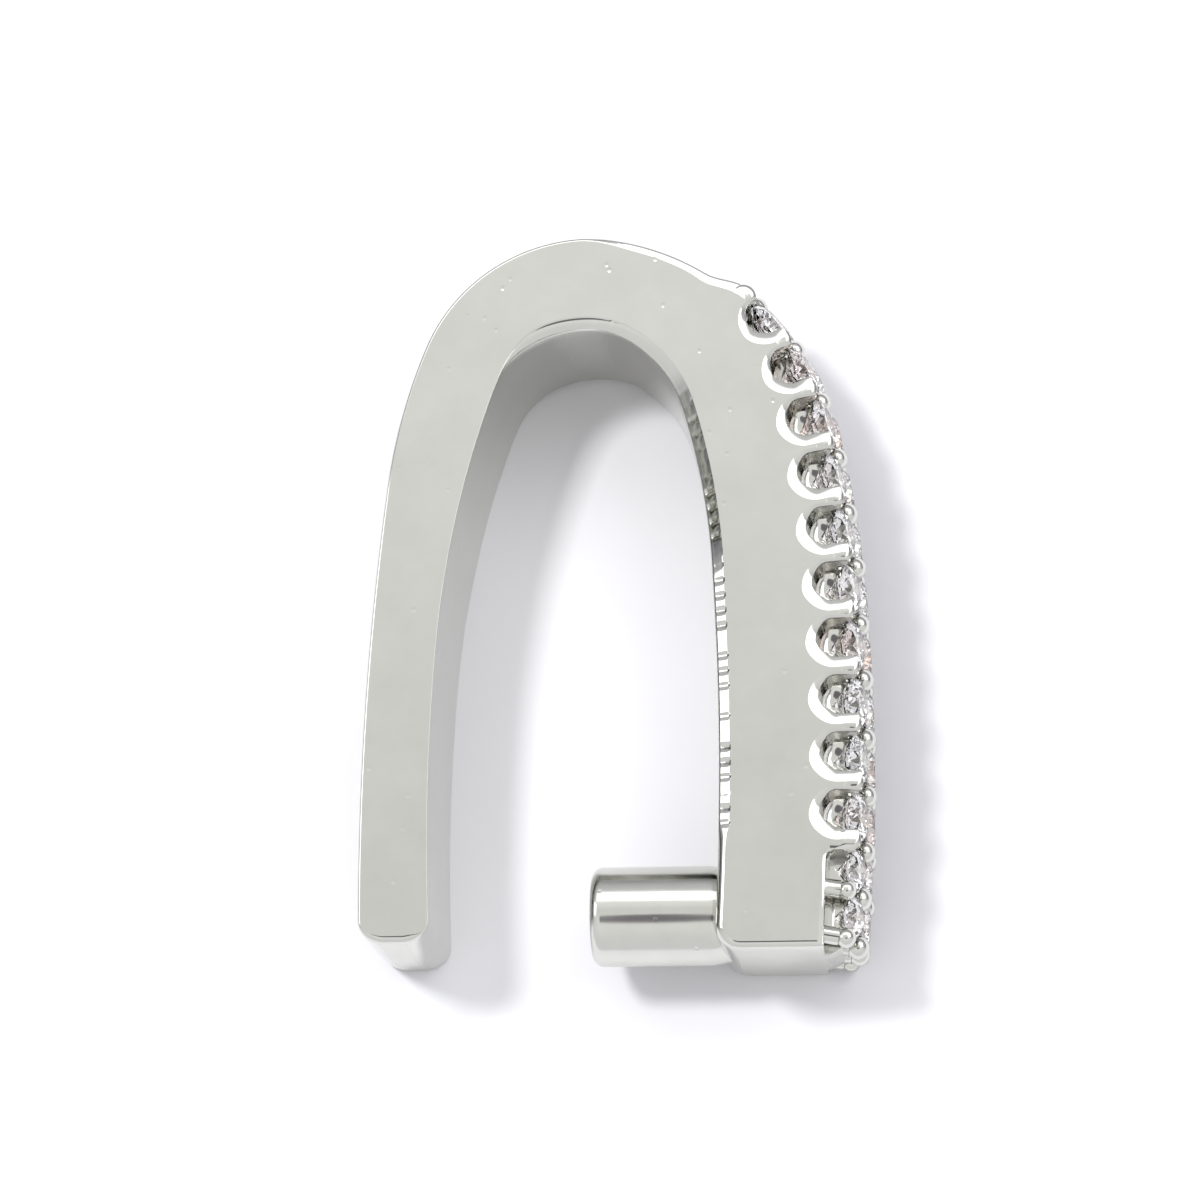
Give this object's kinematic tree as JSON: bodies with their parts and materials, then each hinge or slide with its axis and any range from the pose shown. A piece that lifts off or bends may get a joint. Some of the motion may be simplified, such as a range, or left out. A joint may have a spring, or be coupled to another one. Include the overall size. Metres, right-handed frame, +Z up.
{
  "type": "pinch bail with a stone-set front arm, lying on its side",
  "caption": "Polished plated-brass pinch bail lying on its side, with one peg and a prong-set front of small round stones.",
  "frame": {"origin": "under the middle of the bail, on the surface that it lies on", "axes": "+Y runs up the arms to the arch, +X points from the back arm to the set front arm, +Z is up from the side it lies on"},
  "size_m": [0.008, 0.0116, 0.003],
  "materials": {
    "plated_brass": "bright rhodium-coloured plating over cast brass, polished",
    "clear_stone": "colourless cubic zirconia, cut and polished"
  },
  "bodies": {
    "root": {"bail_band": "plated_brass", "lower_row_stone_01": "clear_stone", "lower_row_stone_02": "clear_stone", "lower_row_stone_03": "clear_stone", "lower_row_stone_04": "clear_stone", "lower_row_stone_05": "clear_stone", "lower_row_stone_06": "clear_stone", "lower_row_stone_07": "clear_stone", "lower_row_stone_08": "clear_stone", "lower_row_stone_09": "clear_stone", "lower_row_stone_10": "clear_stone", "lower_row_stone_11": "clear_stone", "lower_row_stone_12": "clear_stone", "middle_row_stone_01": "clear_stone", "middle_row_stone_02": "clear_stone", "middle_row_stone_03": "clear_stone", "middle_row_stone_04": "clear_stone", "middle_row_stone_05": "clear_stone", "middle_row_stone_06": "clear_stone", "middle_row_stone_07": "clear_stone", "middle_row_stone_08": "clear_stone", "middle_row_stone_09": "clear_stone", "middle_row_stone_10": "clear_stone", "middle_row_stone_11": "clear_stone", "middle_row_stone_12": "clear_stone", "upper_row_stone_01": "clear_stone", "upper_row_stone_02": "clear_stone", "upper_row_stone_03": "clear_stone", "upper_row_stone_04": "clear_stone", "upper_row_stone_05": "clear_stone", "upper_row_stone_06": "clear_stone", "upper_row_stone_07": "clear_stone", "upper_row_stone_08": "clear_stone", "upper_row_stone_09": "clear_stone", "upper_row_stone_10": "clear_stone", "upper_row_stone_11": "clear_stone", "upper_row_stone_12": "clear_stone"}
  },
  "joints": []
}
